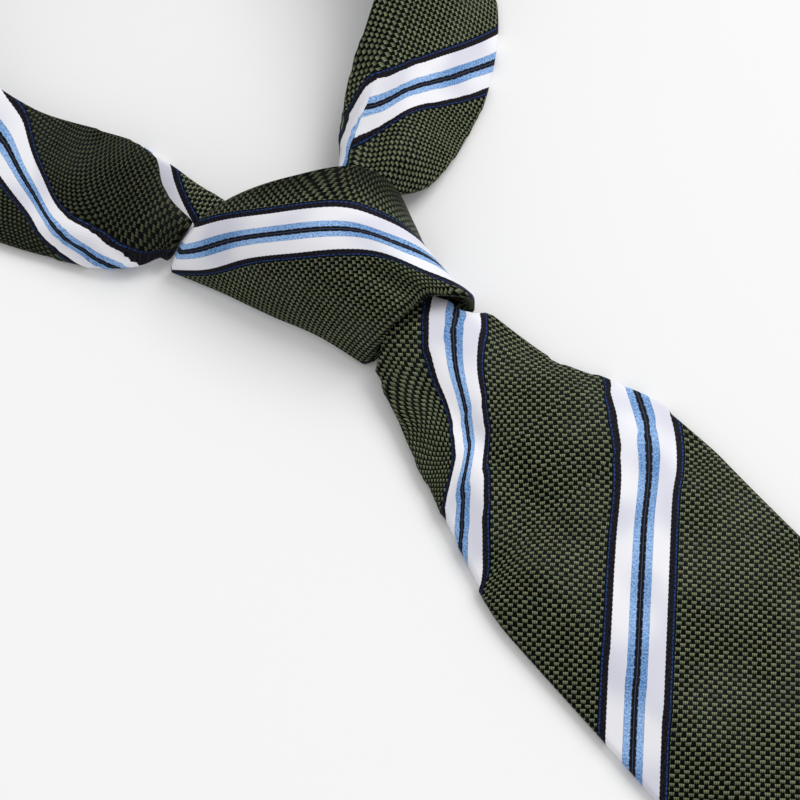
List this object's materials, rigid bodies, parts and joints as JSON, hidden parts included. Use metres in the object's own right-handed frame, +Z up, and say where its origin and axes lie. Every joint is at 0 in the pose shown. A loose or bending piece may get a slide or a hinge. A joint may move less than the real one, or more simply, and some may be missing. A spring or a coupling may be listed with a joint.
{
  "type": "necktie",
  "caption": "Dark olive striped silk necktie in a plain four-in-hand knot, lying face up: padded flat bands, neck loop, wide front blade over a narrow tail.",
  "frame": {"origin": "on the flat back of the knot, in the plane the tie lies on, under the middle of the knot", "axes": "+Z up, out of the face of the tie as it lies on a table; -Y along the front blade to its tip, +Y towards the neck loop; +X to the right seen from above with the loop at the top"},
  "size_m": [0.1448, 0.6527, 0.0313],
  "materials": {
    "silk": "woven silk with a soft sheen, diagonal stripes"
  },
  "bodies": {
    "root": {"front_blade": "silk", "tail_blade": "silk", "neck_right": "silk", "neck_back": "silk", "neck_left": "silk", "knot_pass": "silk", "knot_wrap": "silk"}
  },
  "joints": []
}
